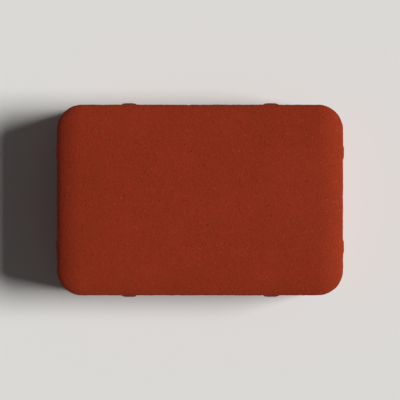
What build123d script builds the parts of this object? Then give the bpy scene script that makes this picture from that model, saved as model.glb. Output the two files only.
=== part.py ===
from build123d import *

import os

# A concrete paving stone, the oblong one of a two-size set, pressed in one piece of coloured concrete.
# Millimetres. The origin is the middle of the base, X runs along the stone, Y across it and Z up.

# The stone without its nibs, up to the highest point of its face
stone_length = 180.0
stone_width = 120.0
stone_height = 60.0

# The soft arris round the face, and the small corner that the face keeps inside it
arris_run = 15.0
arris_drop = 6.1
face_corner_radius = 1.0

# The face rises a little from its edge to its middle, and is flatter along the stone than across it
crown_height = 1.5
along_power = 4
across_power = 2

# The edge of the base is broken, as it leaves the mould
base_break = 1.0

# The spacer nibs stand on the base, and end in a sloped head that stays below the face
nib_proud = 1.7
nib_width = 12.0
nib_land = 7.0
nib_edge_radius = 1.5
nib_head_depth = 16.0
nib_head_slope = 8.0

# From the corner of the stone to the middle of a nib, on the long sides and on the ends
side_nib_inset = 45.0
end_nib_inset = 30.0

# What follows from them
half_length = stone_length / 2
half_width = stone_width / 2
corner_radius = arris_run + face_corner_radius
face_half_length = half_length - arris_run
face_half_width = half_width - arris_run
rim_level = stone_height - crown_height
arris_foot = rim_level - arris_drop
nib_height = stone_height - nib_head_depth
nib_root = -nib_proud

# The crown starts a hair under the rim, so that it meets the arris all round without a step
crown_start = rim_level - crown_height / 100
crown_rise = stone_height - crown_start


def crown_section(half_size, half_face, power):
    """Places and heights of the Bezier points of 1 - (place / half_face) ** power, from edge to edge."""
    reach = (half_size / half_face) ** power
    places = [half_size * (2 * i / power - 1) for i in range(power + 1)]
    heights = [1 - reach * (-1) ** i for i in range(power + 1)]
    return list(zip(places, heights))


# The crowned face is one patch: the section along the stone times the section across it
crown_net = [
    [
        Vector(x, y, crown_start + crown_rise * along * across)
        for y, across in crown_section(half_width, face_half_width, across_power)
    ]
    for x, along in crown_section(half_length, face_half_length, along_power)
]
crown_face = Face.make_bezier_surface(crown_net)

# How steeply the crown comes down to the rim: the mean of the slopes at the ends and at the long sides
end_slope = along_power * crown_height / face_half_length
side_slope = across_power * crown_height / face_half_width
rim_slope = (end_slope + side_slope) / 2

# With this weight on its middle point a three-point Bezier curve is a quarter of an ellipse
elliptic_weight = 0.5**0.5

# One nib, with the flank at X = 0: its side view, kept where its plan is
with BuildPart() as spacer_nib:
    with BuildSketch(Plane.XZ) as nib_side_view:
        with BuildLine():
            Polyline(
                (nib_root, 0),
                (nib_proud, 0),
                (nib_proud, nib_height - nib_head_slope),
                (0, nib_height),
                (nib_root, nib_height),
                close=True,
            )
        make_face()
    extrude(amount=nib_width / 2, both=True)
    with BuildSketch() as nib_plan:
        with BuildLine():
            Polyline(
                (nib_root, -nib_width / 2),
                (0, -nib_width / 2),
                (nib_proud, -nib_land / 2),
                (nib_proud, nib_land / 2),
                (0, nib_width / 2),
                (nib_root, nib_width / 2),
                close=True,
            )
        make_face()
        fillet(nib_plan.vertices().group_by(Axis.X)[-1], radius=nib_edge_radius)
    extrude(amount=nib_height, mode=Mode.INTERSECT)

# The nibs of one quarter of the stone, repeated by a half turn and on the opposite hand
side_nib_x = half_length - side_nib_inset
end_nib_y = half_width - end_nib_inset
nib_places = []
for hand in (1, -1):
    nib_places.append(Location((half_length, hand * end_nib_y, 0), (0, 0, 0)))
    nib_places.append(Location((-half_length, hand * end_nib_y, 0), (0, 0, 180)))
    nib_places.append(Location((hand * side_nib_x, half_width, 0), (0, 0, 90)))
    nib_places.append(Location((hand * side_nib_x, -half_width, 0), (0, 0, -90)))

with BuildPart() as paving_stone:
    with BuildSketch() as outline:
        RectangleRounded(stone_length, stone_width, corner_radius)
    extrude(amount=stone_height)

    # The arris is cut by carrying its section once round the outline. The section is an elliptic arc that
    # leaves the rim at the crown's slope and comes down upright on to the flank.
    with BuildSketch(Plane.XZ) as arris_section:
        with BuildLine():
            Bezier(
                (face_half_length, rim_level),
                (half_length, rim_level - rim_slope * arris_run),
                (half_length, arris_foot),
                weights=[1, elliptic_weight, 1],
            )
            Polyline(
                (half_length, arris_foot),
                (half_length + arris_drop, arris_foot),
                (half_length + arris_drop, stone_height + arris_drop),
                (face_half_length, stone_height + arris_drop),
                (face_half_length, rim_level),
            )
        make_face()
    sweep(path=outline.wire(), mode=Mode.SUBTRACT)

    # Only what lies under the crowned face stays
    extrude(crown_face, amount=stone_height + arris_drop, dir=(0, 0, -1), mode=Mode.INTERSECT)

    with Locations(*nib_places):
        add(spacer_nib.part)
    chamfer(paving_stone.faces().sort_by(Axis.Z)[0].edges(), length=base_break)

paving_stone.part.label = "paving_stone"
os.makedirs("parts", exist_ok=True)
export_step(paving_stone.part, "parts/paving_stone.step")
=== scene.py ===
import itertools
import math

import bpy
import numpy as np
from bpy.props import FloatProperty, FloatVectorProperty, IntProperty, PointerProperty
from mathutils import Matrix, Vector


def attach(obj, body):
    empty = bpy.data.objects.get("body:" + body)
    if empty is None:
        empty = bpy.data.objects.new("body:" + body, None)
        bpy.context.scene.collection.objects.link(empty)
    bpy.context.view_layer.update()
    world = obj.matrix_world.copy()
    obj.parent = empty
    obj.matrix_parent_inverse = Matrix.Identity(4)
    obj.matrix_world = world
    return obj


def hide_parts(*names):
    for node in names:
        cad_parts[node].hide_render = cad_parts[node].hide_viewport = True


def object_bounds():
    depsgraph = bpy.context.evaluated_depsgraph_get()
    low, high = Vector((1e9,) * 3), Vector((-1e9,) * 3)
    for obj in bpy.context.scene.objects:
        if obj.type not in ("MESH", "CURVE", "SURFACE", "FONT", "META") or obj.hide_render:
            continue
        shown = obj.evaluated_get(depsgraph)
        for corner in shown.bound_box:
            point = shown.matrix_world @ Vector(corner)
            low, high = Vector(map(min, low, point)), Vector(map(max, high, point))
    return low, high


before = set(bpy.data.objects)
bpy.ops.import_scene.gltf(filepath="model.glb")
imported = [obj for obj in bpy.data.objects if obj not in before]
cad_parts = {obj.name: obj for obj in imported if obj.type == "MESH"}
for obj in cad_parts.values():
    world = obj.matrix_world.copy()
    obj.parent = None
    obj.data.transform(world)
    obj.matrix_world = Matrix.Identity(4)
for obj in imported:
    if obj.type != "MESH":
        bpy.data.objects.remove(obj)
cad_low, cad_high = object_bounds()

bl_info = {
    "name": "Concrete paving stone",
    "version": (1, 0, 0),
    "blender": (4, 5, 0),
    "location": "3D View > Sidebar > Paving stone",
    "description": "Builds one pressed concrete paving stone and a plain studio to look at it in",
    "category": "Add Mesh",
}

MM = 0.001
NIB_PROUD = 1.7 * MM


# Sizes and colours


class StoneShape(bpy.types.PropertyGroup):
    """The sizes of the mould."""

    length: FloatProperty(
        name="Length",
        description="Length of the stone without its nibs",
        default=cad_high.x - cad_low.x - 2 * NIB_PROUD,
        subtype="DISTANCE",
        unit="LENGTH",
    )
    width: FloatProperty(
        name="Width",
        description="Width of the stone without its nibs",
        default=cad_high.y - cad_low.y - 2 * NIB_PROUD,
        subtype="DISTANCE",
        unit="LENGTH",
    )
    height: FloatProperty(
        name="Height",
        description="Height from the base to the middle of the face",
        default=cad_high.z,
        subtype="DISTANCE",
        unit="LENGTH",
    )
    crown_height: FloatProperty(
        name="Crown height",
        description="How far the face rises from its rim to its middle",
        default=1.5 * MM,
        subtype="DISTANCE",
        unit="LENGTH",
    )
    arris_run: FloatProperty(
        name="Arris run",
        description="How far the rounded arris reaches in from the flank",
        default=15 * MM,
        subtype="DISTANCE",
        unit="LENGTH",
    )
    arris_round: FloatProperty(
        name="Arris round",
        description="Height of the quarter ellipse that rounds the arris",
        default=5 * MM,
        subtype="DISTANCE",
        unit="LENGTH",
    )
    rim_slope: FloatProperty(
        name="Rim slope",
        description="How steeply the crown comes down to the arris",
        default=0.0733,
        subtype="FACTOR",
    )
    face_corner: FloatProperty(
        name="Face corner",
        description="Radius of the face's own corners, inside the arris",
        default=1 * MM,
        subtype="DISTANCE",
        unit="LENGTH",
    )
    base_break: FloatProperty(
        name="Base break",
        description="Width of the broken edge round the base",
        default=1 * MM,
        subtype="DISTANCE",
        unit="LENGTH",
    )
    nib_proud: FloatProperty(
        name="Nib",
        description="How far a spacer nib stands out of the flank",
        default=NIB_PROUD,
        subtype="DISTANCE",
        unit="LENGTH",
    )
    nib_width: FloatProperty(
        name="Nib width",
        description="Width of a nib where it leaves the flank",
        default=12 * MM,
        subtype="DISTANCE",
        unit="LENGTH",
    )
    nib_land: FloatProperty(
        name="Nib land",
        description="Width of the flat that a nib touches the next stone with",
        default=7 * MM,
        subtype="DISTANCE",
        unit="LENGTH",
    )
    nib_top: FloatProperty(
        name="Nib top",
        description="Height at which a nib's head runs out on the flank",
        default=44 * MM,
        subtype="DISTANCE",
        unit="LENGTH",
    )
    nib_slope: FloatProperty(
        name="Nib head",
        description="Height of a nib's sloping head",
        default=8 * MM,
        subtype="DISTANCE",
        unit="LENGTH",
    )
    side_nib: FloatProperty(
        name="Side nibs",
        description="From the middle of a long side to the middle of each of its nibs",
        default=45 * MM,
        subtype="DISTANCE",
        unit="LENGTH",
    )
    end_nib: FloatProperty(
        name="End nibs",
        description="From the middle of an end to the middle of each of its nibs",
        default=30 * MM,
        subtype="DISTANCE",
        unit="LENGTH",
    )


class StoneSurface(bpy.types.PropertyGroup):
    """How even the pressed concrete is."""

    face_wave: FloatProperty(
        name="Face wave",
        description="Depth of the slow unevenness of the face",
        default=0.1 * MM,
        subtype="DISTANCE",
        unit="LENGTH",
    )
    flank_grain: FloatProperty(
        name="Flank grain",
        description="Depth of the coarse grain that the mould leaves on the flanks",
        default=0.3 * MM,
        subtype="DISTANCE",
        unit="LENGTH",
    )
    void_depth: FloatProperty(
        name="Void depth",
        description="Depth of the open voids between the grains of the flanks and the base",
        default=1.1 * MM,
        subtype="DISTANCE",
        unit="LENGTH",
    )
    pore_size: FloatProperty(
        name="Pore size",
        description="Largest radius of the round pores in the flanks and the base",
        default=1.4 * MM,
        subtype="DISTANCE",
        unit="LENGTH",
    )
    pore_spacing: FloatProperty(
        name="Pore spacing",
        description="Mean distance between round pores inside the concrete",
        default=5.5 * MM,
        subtype="DISTANCE",
        unit="LENGTH",
    )
    seed: IntProperty(
        name="Seed",
        description="Start of every random draw, so that a stone comes out the same each time",
        default=18,
    )


class StoneFinish(bpy.types.PropertyGroup):
    """Colour and texture of the concrete."""

    colour: FloatVectorProperty(
        name="Colour",
        description="Mean colour of the face",
        default=(0.2310, 0.0222, 0.0052),
        subtype="COLOR",
    )
    pale_grain: FloatVectorProperty(
        name="Pale grain",
        description="Colour of the few pale sand grains in the face",
        default=(0.52, 0.20, 0.13),
        subtype="COLOR",
    )
    mottle: FloatProperty(
        name="Mottle",
        description="How much the colour drifts from place to place",
        default=0.07,
        subtype="FACTOR",
    )
    grain_size: FloatProperty(
        name="Grain size",
        description="Size of the sand grains that show in the face",
        default=0.7 * MM,
        subtype="DISTANCE",
        unit="LENGTH",
    )
    grain_contrast: FloatProperty(
        name="Grain contrast",
        description="How much a sand grain differs from its neighbours in tone",
        default=0.28,
        subtype="FACTOR",
    )
    roughness: FloatProperty(
        name="Roughness",
        description="Mean roughness of the face",
        default=0.88,
        subtype="FACTOR",
    )


class StageSettings(bpy.types.PropertyGroup):
    """The plain studio."""

    floor_colour: FloatVectorProperty(
        name="Floor",
        description="Colour of the floor",
        default=(0.72, 0.71, 0.69),
        subtype="COLOR",
    )
    backdrop_colour: FloatVectorProperty(
        name="Backdrop",
        description="Colour that is seen behind the floor",
        default=(0.78, 0.77, 0.75),
        subtype="COLOR",
    )
    key_strength: FloatProperty(
        name="Key light",
        description="Strength of the lamp at the right-hand end",
        default=4.15,
    )
    key_height: FloatProperty(
        name="Key height",
        description="Angle of the key light above the floor",
        default=math.radians(43),
        subtype="ANGLE",
        unit="ROTATION",
    )
    key_turn: FloatProperty(
        name="Key turn",
        description="Angle of the key light round the stone, from the right-hand end to the back",
        default=math.radians(3),
        subtype="ANGLE",
        unit="ROTATION",
    )
    key_softness: FloatProperty(
        name="Key softness",
        description="Angle across the key light, which softens the shadow",
        default=math.radians(24),
        subtype="ANGLE",
        unit="ROTATION",
    )
    fill: FloatProperty(
        name="Fill light",
        description="Strength of the even light from all round",
        default=0.07,
        subtype="FACTOR",
    )
    view_width: FloatProperty(
        name="View width",
        description="Width of what the camera sees at the height of the face",
        default=0.250,
        subtype="DISTANCE",
        unit="LENGTH",
    )


# The mesh


# How fine it is: cells of the face along X and along Y, and rows on the arris and down the flank
FACE_CELLS = (160, 96)
ARRIS_ROWS = 20
FLANK_ROWS = 61

# Where two slopes meet they are rounded over about this much: at the rim of the face as a height, and on
# a nib as a share of how far it stands out
RIM_BLEND = 0.12 * MM
NIB_BLEND = 0.08

# Gap between the charts of the flat map
MAP_GAP = 2.5 * MM

# Random numbers drawn for a lattice, and the primes that spread its cells over them
LATTICE_DRAWS = 8192
CELL_PRIMES = np.array([73856093, 19349663, 83492791])

# The flank turns into the face, and into the base, as the upward or downward part of its normal rises
# through these
FACE_TILTS = (0.05, 0.6)
BASE_TILTS = (0.4, 0.9)

# Size and share of each of the random fields that make the face's wave and the flank's grain
FACE_WAVES = ((34 * MM, 0.6), (13 * MM, 0.4))
FLANK_GRAINS = ((4.5 * MM, 0.6), (2.2 * MM, 0.4))

# Drag marks: their size, and how their places are scaled so that they run upright
DRAG_SIZE = 1.9 * MM
DRAG_SCALE = (1, 1, 0.08)

# Voids: the size of one, of its ragged edge and of the clusters that voids stand in, and the values of
# their sum between which the surface falls to a void's floor
VOID_SIZE = 3.4 * MM
VOID_EDGE_SIZE = 1.9 * MM
VOID_CLUSTER_SIZE = 17 * MM
VOID_RISE = (0.36, 0.66)

# The field that bends voids and pores out of shape, and how far it moves each
WARP_SIZE = 2.6 * MM
VOID_WARP = 0.8 * MM
PORE_WARP = 0.6 * MM

# Pores: the least radius and the greatest depth as shares of the largest radius, and the share of the
# lattice's cells that hold a pore
SMALLEST_PORE = 0.45
DEEPEST_PORE = 0.7
PORE_CHANCE = 0.6


def stacked(x, y, z):
    """Points from their coordinates. Any of the three may be one number for all the points."""
    return np.stack(np.broadcast_arrays(x, y, z), axis=-1)


def folded_grid(core, rings):
    """A square grid laid on a rounded rectangle, as arrays indexed along X and along Y.

    The middle cells cover the core evenly: a rectangle that reaches this far along X and Y from the
    middle. Round it the grid's rows follow the outline at the distances in rings. At a corner, row m of
    the grid is a quarter circle with that ring's radius, and its 2 m cells share the quarter turn
    evenly. Returns x, y, how far out of the core each point lies (negative inside it) and the outward
    direction of its ring.
    """
    turns = len(rings) - 1

    def along(cells, half):
        index = np.arange(cells + 2 * turns + 1) - turns
        ring = np.minimum(index, 0) + np.maximum(index - cells, 0)
        return ring, half * (2 * np.clip(index / cells, 0, 1) - 1)

    (ring_x, at_x), (ring_y, at_y) = map(along, FACE_CELLS, core)
    ring_x, ring_y = np.meshgrid(ring_x, ring_y, indexing="ij")
    at_x, at_y = np.meshgrid(at_x, at_y, indexing="ij")
    outer = np.maximum(abs(ring_x), abs(ring_y))
    turn = math.pi / 4 * np.minimum(abs(ring_x), abs(ring_y)) / np.maximum(outer, 1)
    more, less = np.cos(turn), np.sin(turn)
    x_leads = abs(ring_x) >= abs(ring_y)
    way_x = np.sign(ring_x) * np.where(x_leads, more, less)
    way_y = np.sign(ring_y) * np.where(x_leads, less, more)
    reach = np.asarray(rings)[outer]
    inside = np.minimum(core[0] - abs(at_x), core[1] - abs(at_y))
    outside = np.where(outer > 0, reach, -inside)
    return at_x + way_x * reach, at_y + way_y * reach, outside, (way_x, way_y)


def soft_least(first, second, blend):
    """The lesser of two values, rounded over about the blend where they cross: the lesser one, minus the
    blend times the logarithm of the sum of e ** ((lesser - value) / blend) for both values."""
    least = np.minimum(first, second)
    return least - blend * np.log(np.exp((least - first) / blend) + np.exp((least - second) / blend))


def eased(value, start, stop):
    """0 up to start and 1 from stop, and between them 3 t^2 - 2 t^3 for the share t of the way."""
    share = np.clip((value - start) / (stop - start), 0, 1)
    return share * share * (3 - 2 * share)


def face_height(shape, x, y, outside):
    """Height of the stone's upper side.

    The crown stands above the rim by its height times 1 - (x / half the face's length) ** 4 times
    1 - (y / half the face's width) ** 2. The arris goes on down from the rim at the rim's slope, and
    falls below that slope as a quarter ellipse does. The lower of the two counts.
    """
    half_x = shape.length / 2 - shape.arris_run
    half_y = shape.width / 2 - shape.arris_run
    rim = shape.height - shape.crown_height
    crown = rim + shape.crown_height * (1 - (x / half_x) ** 4) * (1 - (y / half_y) ** 2)
    past_rim = outside - shape.face_corner
    share = np.clip(past_rim / shape.arris_run, 0, 1)
    arris = rim - shape.rim_slope * past_rim - shape.arris_round * (1 - np.sqrt(1 - share**2))
    return soft_least(crown, arris, RIM_BLEND)


def nib_depth(shape, x, y, z):
    """How far a nib stands out of the flank at a point: the least of its side slopes, its head slope and
    its land, with the corners between them rounded. It is 0 away from the nibs.

    A side slope rises from 0 at the nib's full width to 1 at the land's, and the head's from 0 at the
    nib's top to 1 at the slope's height below it. The land is 1, and 1 is the whole of the stand-out.
    """
    to_side = abs(abs(x) - shape.side_nib)
    to_end = abs(abs(y) - shape.end_nib)
    on_side = abs(y) > shape.width / 2 - shape.arris_run
    across = np.where(on_side, to_side, to_end)
    side = (shape.nib_width / 2 - across) / ((shape.nib_width - shape.nib_land) / 2)
    head = (shape.nib_top - z) / shape.nib_slope
    share = soft_least(soft_least(side, head, NIB_BLEND), 1, NIB_BLEND)
    return shape.nib_proud * np.clip(share, 0, 1)


def cell_corners(grid):
    """What a grid holds at the four corners of each of its cells, one row for each cell."""
    corners = np.stack([grid[:-1, :-1], grid[1:, :-1], grid[1:, 1:], grid[:-1, 1:]], axis=2)
    return corners.reshape(-1, *corners.shape[2:])


def distances_along(line):
    """How far along a line each of its points lies."""
    steps = np.linalg.norm(np.diff(line, axis=0), axis=1)
    return np.concatenate([[0], np.cumsum(steps)])


def laid_at(chart, low):
    """A flat chart moved so that its lowest corner lies here."""
    return chart - chart.reshape(-1, 2).min(axis=0) + low


def unrolled(upper_side, base, along, down):
    """The place of every face corner on one square map, as a share of the map's side.

    The upper side and the base lie one above the other, at full size. The flank is cut at two opposite
    corners of the stone, and its halves stand beside them as strips: the way down runs across a strip
    and the way round the stone runs up it.
    """
    upper_size = np.ptp(upper_side.reshape(-1, 2), axis=0)
    half = len(along) // 2
    charts = [
        laid_at(upper_side, (MAP_GAP, MAP_GAP)),
        laid_at(base, (MAP_GAP, 2 * MAP_GAP + upper_size[1])),
    ]
    for number, start in enumerate((0, half)):
        strip = np.stack(np.meshgrid(down, along[start : start + half + 1]), axis=-1)
        left = 2 * MAP_GAP + upper_size[0] + number * (down[-1] + MAP_GAP)
        charts.append(laid_at(strip, (left, MAP_GAP)))
    side = max(chart.max() for chart in charts) + MAP_GAP
    facing_up, *turned_down = (cell_corners(chart) for chart in charts)
    return np.concatenate([facing_up, *(corners[:, ::-1] for corners in turned_down)]) / side


def mould_form(shape):
    """Vertices and quads of the closed stone as its mould shapes it, and where its face corners lie on a
    flat map.

    The upper side and the base are folded grids with the same outline points, and rows of points down
    the flank join them. The rings of the arris lie at its run times the sine of evenly spread angles,
    so they stand closer where it is steeper.
    """
    corner = shape.arris_run + shape.face_corner
    core = (shape.length / 2 - corner, shape.width / 2 - corner)
    turns = np.linspace(0, math.pi / 2, ARRIS_ROWS + 1)
    rings = np.concatenate([[0], shape.face_corner + shape.arris_run * np.sin(turns)])
    x, y, outside, (way_x, way_y) = folded_grid(core, rings)
    top = stacked(x, y, face_height(shape, x, y, outside))

    # The base, inside its broken edge. Its outer rows reach out under the nibs
    low_rings = np.linspace(0, corner - shape.base_break, len(rings))
    low_x, low_y, low_outside, _ = folded_grid(core, low_rings)
    near_edge = eased(low_outside, 0.5 * corner, corner - shape.base_break)
    proud = nib_depth(shape, x, y, 0) * near_edge
    base = stacked(low_x + way_x * proud, low_y + way_y * proud, 0)

    # The flank, from the foot of the arris to the broken edge of the base
    numbers = np.arange(x.size).reshape(x.shape)
    edge = np.concatenate([numbers[:-1, 0], numbers[-1, :-1], numbers[:0:-1, -1], numbers[0, :0:-1]])
    edge_x, edge_y, edge_way_x, edge_way_y = (part.ravel()[edge] for part in (x, y, way_x, way_y))
    foot = shape.height - shape.crown_height - shape.rim_slope * shape.arris_run - shape.arris_round
    levels = np.linspace(foot, shape.base_break, FLANK_ROWS + 1)[1:, None]
    proud = nib_depth(shape, edge_x, edge_y, levels)
    flank = stacked(edge_x + edge_way_x * proud, edge_y + edge_way_y * proud, levels)
    points = np.concatenate([part.reshape(-1, 3) for part in (top, base, flank)])

    flank_numbers = 2 * x.size + np.arange(len(levels) * len(edge)).reshape(len(levels), -1)
    hoops = np.concatenate([[edge], flank_numbers, [edge + x.size]])
    wall = np.concatenate([hoops, hoops[:, :1]], axis=1)
    facing_up, facing_down, facing_out = map(cell_corners, (numbers, numbers + x.size, wall.T))
    quads = np.concatenate([facing_up, facing_down[:, ::-1], facing_out[:, ::-1]])

    # On the map the arris is as wide as its curve is long, measured at the middle of a long side
    flat_rings = distances_along(top[x.shape[0] // 2, -len(rings) :])
    flat_x, flat_y, _, _ = folded_grid(core, flat_rings)
    upper_chart = np.stack([flat_x, flat_y], axis=-1)
    base_chart = np.stack([-low_x, low_y], axis=-1)
    along, down = distances_along(points[wall[0]]), distances_along(points[wall[:, 0]])
    return points, quads, unrolled(upper_chart, base_chart, along, down)


def outward_normals(points, quads):
    """Unit normals at the vertices: each face's diagonals crossed, added up at its corners."""
    a, b, c, d = (points[quads[:, i]] for i in range(4))
    faces = np.cross(c - a, d - b)
    normals = np.zeros_like(points)
    for i in range(4):
        np.add.at(normals, quads[:, i], faces)
    return normals / np.linalg.norm(normals, axis=1, keepdims=True)


def lattice_draws(cells, seed, count):
    """Random numbers from 0 to 1 for the cells of a cubic lattice, the same for a cell and a seed each
    time: the cell's three whole numbers times three primes, added up, give its place in the draws."""
    draws = np.random.default_rng(seed).random((LATTICE_DRAWS, count))
    return draws[(cells @ CELL_PRIMES) % LATTICE_DRAWS]


def drift(points, size, seed):
    """A smooth random field from -1 to 1: random numbers at the corners of a cubic lattice of this size,
    blended between the corners by 6 t^5 - 15 t^4 + 10 t^3."""
    cells = np.floor(points / size).astype(np.int64)
    part = points / size - cells
    ease = part**3 * (part * (part * 6 - 15) + 10)
    total = np.zeros(len(points))
    for corner in itertools.product((0, 1), repeat=3):
        share = np.prod(np.where(corner, ease, 1 - ease), axis=1)
        total += share * lattice_draws(cells + corner, seed, 1)[:, 0]
    return 2 * total - 1


def summed(points, fields, seeds):
    """The sum of random fields, given as pairs of size and share. Each takes the next seed."""
    return sum(share * drift(points, size, next(seeds)) for size, share in fields)


def pore_depth(points, normals, size, spacing, seed):
    """How far the surface falls back at round pores: a pore is a sphere with its middle in a cell of a
    cubic lattice, and a point inside one goes back along its normal to the sphere's far side."""
    cells = np.floor(points / spacing).astype(np.int64)
    deepest = np.zeros(len(points))
    back = np.zeros(len(points))
    for step in itertools.product((-1, 0, 1), repeat=3):
        draws = lattice_draws(cells + step, seed, 5)
        middle = (cells + step + draws[:, :3]) * spacing
        taken = draws[:, 4] < PORE_CHANCE
        radius = taken * size * (SMALLEST_PORE + (1 - SMALLEST_PORE) * draws[:, 3] ** 2)
        offset = points - middle
        inside = radius**2 - np.sum(offset**2, axis=1)
        deeper = inside > deepest
        deepest = np.where(deeper, inside, deepest)
        back = np.where(deeper, np.sum(offset * normals, axis=1), back)
    return np.where(deepest > 0, back + np.sqrt(back**2 + deepest), 0)


def relief(surface, points, normals):
    """How far the concrete lies behind the mould's own surface, and how hollow it is there, from 0 to 1.

    The face has a slow wave. The flanks and the base have a flat that the mould pressed, upright drag
    marks, ragged voids where a sum of random fields is high, and a few round pores. Each field takes the
    next seed.
    """
    seeds = itertools.count(surface.seed)
    pressed = eased(normals[:, 2], *FACE_TILTS)
    base = eased(-normals[:, 2], *BASE_TILTS)
    wave = summed(points, FACE_WAVES, seeds)
    grain = summed(points, FLANK_GRAINS, seeds)
    drag = drift(points * DRAG_SCALE, DRAG_SIZE, next(seeds))
    warp = np.stack([drift(points, WARP_SIZE, next(seeds)) for _ in range(3)], axis=1)
    ragged = (
        0.55 * drift(points + VOID_WARP * warp, VOID_SIZE, next(seeds))
        + 0.3 * drift(points, VOID_EDGE_SIZE, next(seeds))
        + 0.3 * drift(points, VOID_CLUSTER_SIZE, next(seeds))
    )
    voids = surface.void_depth * eased(ragged, *VOID_RISE)
    bent = points + PORE_WARP * warp
    pores = pore_depth(bent, normals, surface.pore_size, surface.pore_spacing, next(seeds))
    hollows = np.maximum(voids, np.minimum(pores, DEEPEST_PORE * surface.pore_size))
    face_part = surface.face_wave * (0.5 + 0.5 * wave)
    side_part = surface.flank_grain * np.clip(0.3 + 0.6 * grain + 0.25 * drag * (1 - base), 0, None)
    depth = pressed * face_part + (1 - pressed) * (side_part + hollows)
    return depth, (1 - pressed) * np.clip(hollows / surface.void_depth, 0, 1)


def stone_mesh(shape, surface):
    """Vertices and quads of the closed stone, its face corners' places on a flat map, and how hollow it
    is at each vertex. Every vertex lies behind the mould's form by the relief, along its normal."""
    points, quads, places = mould_form(shape)
    normals = outward_normals(points, quads)
    depth, hollow = relief(surface, points, normals)
    return points - normals * depth[:, None], quads, places, hollow


def scene_object(name, data):
    """A new object in the scene that holds this data, at the origin."""
    made = bpy.data.objects.new(name, data)
    bpy.context.scene.collection.objects.link(made)
    return made


def mesh_object(name, points, quads, material):
    """An object with these vertices and quads, smooth shaded."""
    mesh = bpy.data.meshes.new(name)
    mesh.from_pydata(points.tolist(), [], quads.tolist())
    mesh.polygons.foreach_set("use_smooth", np.ones(len(quads), bool))
    mesh.materials.append(material)
    mesh.validate()
    return scene_object(name, mesh)


# The materials


# Sizes of the concrete's patterns: cloudy ones first, with the scale that draws the streaks out upright,
# and then those of scattered cells
CLOUD_SIZE = 26 * MM
PATCH_SIZE = 6 * MM
COARSE_SIZE = 2.3 * MM
GRIT_SIZE = 1.7 * MM
PIT_SIZE = 1.5 * MM
STREAK_SIZE = 1.1 * MM
STREAK_SCALE = (1.0, 1.0, 0.07)

STONE_SIZE = 2.9 * MM
SPECK_SIZE = 1.9 * MM
PINHOLE_SIZE = 3.1 * MM
DOME_SIZE = 1.8 * MM

# The face's fine texture gives way to the flank's coarse one from this far above the texture line to
# this far below it
FINE_ABOVE = 1.5 * MM
COARSE_BELOW = 2.5 * MM

# Spots: the radius of the edge and of the full middle, as shares of a cell
SPECK_RADII = (0.24, 0.14)
PINHOLE_RADII = (0.16, 0.08)
DOME_RADII = (0.6, 0.1)

# Which cells have a spot: from no spot to a full one as the cell's random number goes through these
PALE_CELLS = (0.86, 0.93)
DARK_CELLS = (0.14, 0.07)
PINHOLE_CELLS = (0.55, 0.75)

# Values between which a hollow's torn edge and a pit come up out of their patterns
TORN_RISE = (0.22, 0.42)
PIT_RISE = (0.60, 0.67)


class Field:
    """A socket's value over a surface. A sum on it adds a Math node."""

    def __init__(self, maker, socket):
        self.maker = maker
        self.socket = socket

    def math(self, operation, *values):
        """A Math node on these values."""
        return self.maker.node("ShaderNodeMath", {"operation": operation}, dict(enumerate(values)))

    def __add__(self, other):
        return self.math("ADD", self, other)

    def __radd__(self, other):
        return self.math("ADD", other, self)

    def __sub__(self, other):
        return self.math("SUBTRACT", self, other)

    def __rsub__(self, other):
        return self.math("SUBTRACT", other, self)

    def __mul__(self, other):
        return self.math("MULTIPLY", self, other)

    def __rmul__(self, other):
        return self.math("MULTIPLY", other, self)


class NodeMaker:
    """Adds nodes to one tree: first a node's settings, then the values or links of its sockets."""

    def __init__(self, tree):
        self.tree = tree
        tree.nodes.clear()

    def node(self, kind, settings=None, inputs=None, output=0):
        """A new node, as the field of one of its outputs, or as itself where it has none."""
        made = self.tree.nodes.new(kind)
        for name, value in (settings or {}).items():
            setattr(made, name, value)
        for name, value in (inputs or {}).items():
            if isinstance(value, Field):
                self.tree.links.new(value.socket, made.inputs[name])
            else:
                made.inputs[name].default_value = value
        return Field(self, made.outputs[output]) if len(made.outputs) else made

    def stretched(self, place, scale):
        """The place with its axes scaled, for a pattern that is longer one way."""
        return self.node("ShaderNodeVectorMath", {"operation": "MULTIPLY"}, {0: place, 1: scale})

    def axis(self, place, name):
        """One coordinate of a place, or one part of a colour."""
        return self.node("ShaderNodeSeparateXYZ", {}, {0: place}, name)

    def noise(self, place, size, detail=2.0, roughness=0.5):
        """Cloudy noise from about 0 to 1, with clouds of this size."""
        sockets = {"Vector": place, "Scale": 1 / size, "Detail": detail, "Roughness": roughness}
        return self.node("ShaderNodeTexNoise", {}, sockets)

    def cells(self, place, size, output):
        """Scattered cells of this size: the distance to the nearest cell's middle, in sizes, or that
        cell's colour."""
        sockets = {"Vector": place, "Scale": 1 / size}
        return self.node("ShaderNodeTexVoronoi", {"feature": "F1"}, sockets, output)

    def rise(self, value, start, stop):
        """0 at start and 1 at stop, with a smooth rise between."""
        sockets = {"Value": value, "From Min": start, "From Max": stop}
        return self.node("ShaderNodeMapRange", {"interpolation_type": "SMOOTHSTEP"}, sockets)

    def spots(self, place, size, radii):
        """A round spot in each scattered cell: 0 past the first radius and 1 inside the second."""
        return self.rise(self.cells(place, size, "Distance"), *radii)

    def cell_numbers(self, place, size, axis):
        """A random number from 0 to 1 for each scattered cell: one part of the cell's colour."""
        return self.axis(self.cells(place, size, "Color"), axis)

    def blend(self, share, first, second):
        """From the first colour to the second."""
        settings = {"data_type": "RGBA", "blend_type": "MIX"}
        return self.node("ShaderNodeMix", settings, {0: share, 6: first, 7: second}, 2)


def new_material(name):
    """An empty material, and what adds nodes to it."""
    material = bpy.data.materials.new(name)
    material.use_nodes = True
    return material, NodeMaker(material.node_tree)


def scaled(colour, share):
    """A colour made lighter or darker, as a node socket takes it."""
    return (*(share * part for part in colour), 1.0)


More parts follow.
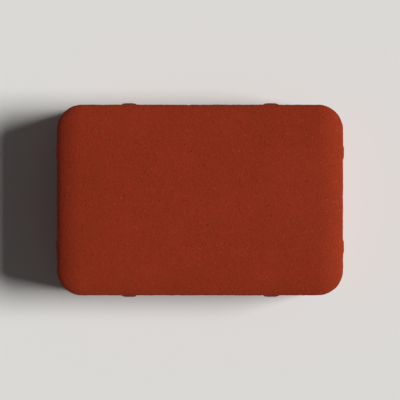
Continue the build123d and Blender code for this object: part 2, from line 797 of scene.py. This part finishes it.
def concrete_material(finish, texture_line):
    """Pressed red concrete. The face is fine and nearly even: drifting tone, sand grains, specks and
    pinholes. Below the texture line, which is a height on the arris, it is coarser, with larger grains,
    open texture and faint upright drag marks."""
    material, make = new_material("red_pressed_concrete")
    place = make.node("ShaderNodeTexCoord", {}, {}, "Object")
    flank = make.rise(make.axis(place, "Z"), texture_line + FINE_ABOVE, texture_line - COARSE_BELOW)
    clouds = make.noise(place, CLOUD_SIZE, detail=3.0)
    patches = make.noise(place, PATCH_SIZE)
    sand = make.noise(place, finish.grain_size, roughness=0.6)
    coarse = make.noise(place, COARSE_SIZE, detail=3.0, roughness=0.6)
    grit = make.noise(place, GRIT_SIZE)

    # Tone, as a share of the way from black to twice the mean colour, which itself lies at one half
    grains = make.cell_numbers(place, 1.1 * finish.grain_size, "X")
    stones = make.cell_numbers(place, STONE_SIZE, "Y")
    drift_part = finish.mottle * (1.6 * (clouds - 0.5) + (patches - 0.5))
    grain_part = finish.grain_contrast * (0.9 * (sand - 0.5) + 0.35 * (grains - 0.5))
    flank_part = flank * (0.14 * (coarse - 0.5) + 0.09 * (stones - 0.5) - 0.02)
    tone = 0.5 + drift_part + grain_part + flank_part
    colour = make.blend(tone, scaled(finish.colour, 0.0), scaled(finish.colour, 2.0))

    # A few pale and dark sand grains
    specks = make.spots(place, SPECK_SIZE, SPECK_RADII)
    speck_numbers = make.cell_numbers(place, SPECK_SIZE, "X")
    pale = specks * make.rise(speck_numbers, *PALE_CELLS)
    dark = specks * make.rise(speck_numbers, *DARK_CELLS)
    colour = make.blend(0.16 * pale, colour, scaled(finish.pale_grain, 1.0))
    colour = make.blend(0.3 * dark, colour, scaled(finish.colour, 0.35))

    # The flank's hollows and pits are painted darker: partly dust that gathers in them, and partly
    # painted shade, which falls in them. The grains round a hollow tear its edge
    hollow = make.node("ShaderNodeAttribute", {"attribute_name": "hollow"}, {}, "Fac")
    torn = make.rise(hollow + 0.5 * (coarse - 0.5) + 0.4 * (sand - 0.5), *TORN_RISE)
    pits = flank * make.rise(make.noise(place, PIT_SIZE, detail=3.0), *PIT_RISE)
    colour = make.blend(0.2 * hollow + 0.2 * torn + 0.3 * pits, colour, scaled(finish.colour, 0.3))

    # Pinholes, in some of the cells, painted darker: painted shade in the holes
    holed = make.rise(make.cell_numbers(place, PINHOLE_SIZE, "Y"), *PINHOLE_CELLS)
    pinholes = make.spots(place, PINHOLE_SIZE, PINHOLE_RADII) * holed
    colour = make.blend(0.3 * pinholes, colour, scaled(finish.colour, 0.4))

    # Height of the fine relief, in millimetres
    streaks = make.noise(make.stretched(place, STREAK_SCALE), STREAK_SIZE)
    domes = make.spots(place, DOME_SIZE, DOME_RADII)
    face_relief = 0.2 * sand + 0.18 * grit - 0.3 * pinholes
    flank_relief = 0.3 * coarse + 0.28 * sand + 0.16 * domes + 0.1 * streaks - 0.35 * pits - 0.45 * torn
    height_map = face_relief + flank * (flank_relief - face_relief)
    bump = make.node("ShaderNodeBump", {}, {"Strength": 1.0, "Distance": MM, "Height": height_map})

    shader = make.node(
        "ShaderNodeBsdfPrincipled",
        {},
        {
            "Base Color": colour,
            "Roughness": finish.roughness + 0.1 * (sand - 0.5) + 0.05 * flank - 0.18 * pale,
            "Normal": bump,
            "Metallic": 0.0,
            "IOR": 1.5,
            "Specular IOR Level": 0.15,
        },
    )
    make.node("ShaderNodeOutputMaterial", {}, {"Surface": shader})
    return material


def floor_material(colour):
    """Plain matt floor."""
    material, make = new_material("pale_floor")
    sockets = {"Base Color": scaled(colour, 1.0), "Roughness": 0.95, "Specular IOR Level": 0.1}
    shader = make.node("ShaderNodeBsdfPrincipled", {}, sockets)
    make.node("ShaderNodeOutputMaterial", {}, {"Surface": shader})
    return material


# The studio


# The floor: from its middle to its edge, grid lines each way, and how far it lies under the stone, so
# that the two surfaces never share a plane
FLOOR_REACH = 3.0
FLOOR_LINES = 9
FLOOR_DROP = 0.05 * MM

# The camera's lens and film width, in millimetres
LENS = 200.0
FILM_WIDTH = 36.0


def add_floor(stage):
    """A flat square floor."""
    across = np.linspace(-FLOOR_REACH, FLOOR_REACH, FLOOR_LINES)
    x, y = np.meshgrid(across, across, indexing="ij")
    points = stacked(x, y, -FLOOR_DROP).reshape(-1, 3)
    quads = cell_corners(np.arange(x.size).reshape(x.shape))
    floor = mesh_object("studio_floor", points, quads, floor_material(stage.floor_colour))


def add_key_light(stage):
    """A soft sun that stands at the key's turn round the stone and the key's height above the floor."""
    light = bpy.data.lights.new("key_light", "SUN")
    light.energy = stage.key_strength
    light.angle = stage.key_softness
    level = math.cos(stage.key_height)
    turn = stage.key_turn
    towards = Vector((level * math.cos(turn), level * math.sin(turn), math.sin(stage.key_height)))
    key = scene_object("key_light", light)
    key.location = towards
    key.rotation_euler = towards.to_track_quat("Z", "Y").to_euler()


def add_surround(stage):
    """A world that lights the stone with the fill, and shows the backdrop to the camera, in gloss and
    through glass."""
    world = bpy.data.worlds.new("studio_surround")
    world.use_nodes = True
    bpy.context.scene.world = world
    make = NodeMaker(world.node_tree)
    shown = make.node("ShaderNodeLightPath", {}, {}, "Is Camera Ray")
    for kind in ("Is Glossy Ray", "Is Transmission Ray"):
        shown = shown.math("MAXIMUM", shown, make.node("ShaderNodeLightPath", {}, {}, kind))
    colour = make.blend(shown, (1.0, 1.0, 1.0, 1.0), scaled(stage.backdrop_colour, 1.0))
    strength = stage.fill + shown * (1 - stage.fill)
    surround = make.node("ShaderNodeBackground", {}, {"Color": colour, "Strength": strength})
    make.node("ShaderNodeOutputWorld", {}, {"Surface": surround})


def add_camera(stage, face_level):
    """A camera that looks straight down, from where the view has its width at the level of the face."""
    lens = bpy.data.cameras.new("view_from_above")
    lens.lens = LENS
    lens.sensor_width = FILM_WIDTH
    camera = scene_object("view_from_above", lens)
    camera.location = (0, 0, face_level + stage.view_width * LENS / FILM_WIDTH)
    bpy.context.scene.camera = camera


# The operators


class PAVING_OT_pressed_stone(bpy.types.Operator):
    """Build the stone: its mesh, its concrete and its place in the frame"""

    bl_idname = "paving.pressed_stone"
    bl_label = "Build the stone"
    bl_options = {"REGISTER", "UNDO"}

    def execute(self, context):
        scene = context.scene
        shape = scene.stone_shape
        texture_line = shape.height - shape.crown_height - shape.arris_round
        concrete = concrete_material(scene.stone_finish, texture_line)
        points, quads, places, hollow = stone_mesh(shape, scene.stone_surface)
        stone = mesh_object("pressed_stone", points, quads, concrete)
        stone.data.uv_layers.new(name="OFBake").uv.foreach_set("vector", places.ravel())
        stone.data.attributes.new("hollow", "FLOAT", "POINT").data.foreach_set("value", hollow)
        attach(stone, "root")
        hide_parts("paving_stone")
        return {"FINISHED"}


class PAVING_OT_studio(bpy.types.Operator):
    """Set up the floor, the lights and the camera over the stone"""

    bl_idname = "paving.studio"
    bl_label = "Set up the studio"
    bl_options = {"REGISTER", "UNDO"}

    def execute(self, context):
        scene = context.scene
        add_floor(scene.stone_stage)
        add_key_light(scene.stone_stage)
        add_surround(scene.stone_stage)
        add_camera(scene.stone_stage, scene.stone_shape.height)
        scene.view_settings.view_transform = "Standard"
        return {"FINISHED"}


class PAVING_PT_sidebar(bpy.types.Panel):
    """The stone's settings and the steps that build it"""

    bl_idname = "PAVING_PT_sidebar"
    bl_label = "Paving stone"
    bl_space_type = "VIEW_3D"
    bl_region_type = "UI"
    bl_category = "Paving stone"

    def draw(self, context):
        groups = (
            (PAVING_OT_pressed_stone, ("stone_shape", "stone_surface", "stone_finish")),
            (PAVING_OT_studio, ("stone_stage",)),
        )
        for operator, names in groups:
            for name in names:
                group = getattr(context.scene, name)
                box = self.layout.box()
                for setting in group.__annotations__:
                    box.prop(group, setting)
            self.layout.operator(operator.bl_idname)


SETTINGS = {
    "stone_shape": StoneShape,
    "stone_surface": StoneSurface,
    "stone_finish": StoneFinish,
    "stone_stage": StageSettings,
}
CLASSES = (*SETTINGS.values(), PAVING_OT_pressed_stone, PAVING_OT_studio, PAVING_PT_sidebar)


def register():
    """Add the settings to the scene, and the operators and the panel to Blender."""
    for kind in CLASSES:
        bpy.utils.register_class(kind)
    for name, group in SETTINGS.items():
        setattr(bpy.types.Scene, name, PointerProperty(type=group))


def unregister():
    """Take away what register added."""
    for name in SETTINGS:
        delattr(bpy.types.Scene, name)
    for kind in reversed(CLASSES):
        bpy.utils.unregister_class(kind)


def main():
    register()
    bpy.ops.paving.pressed_stone()
    bpy.ops.paving.studio()


if __name__ == "__main__":
    main()
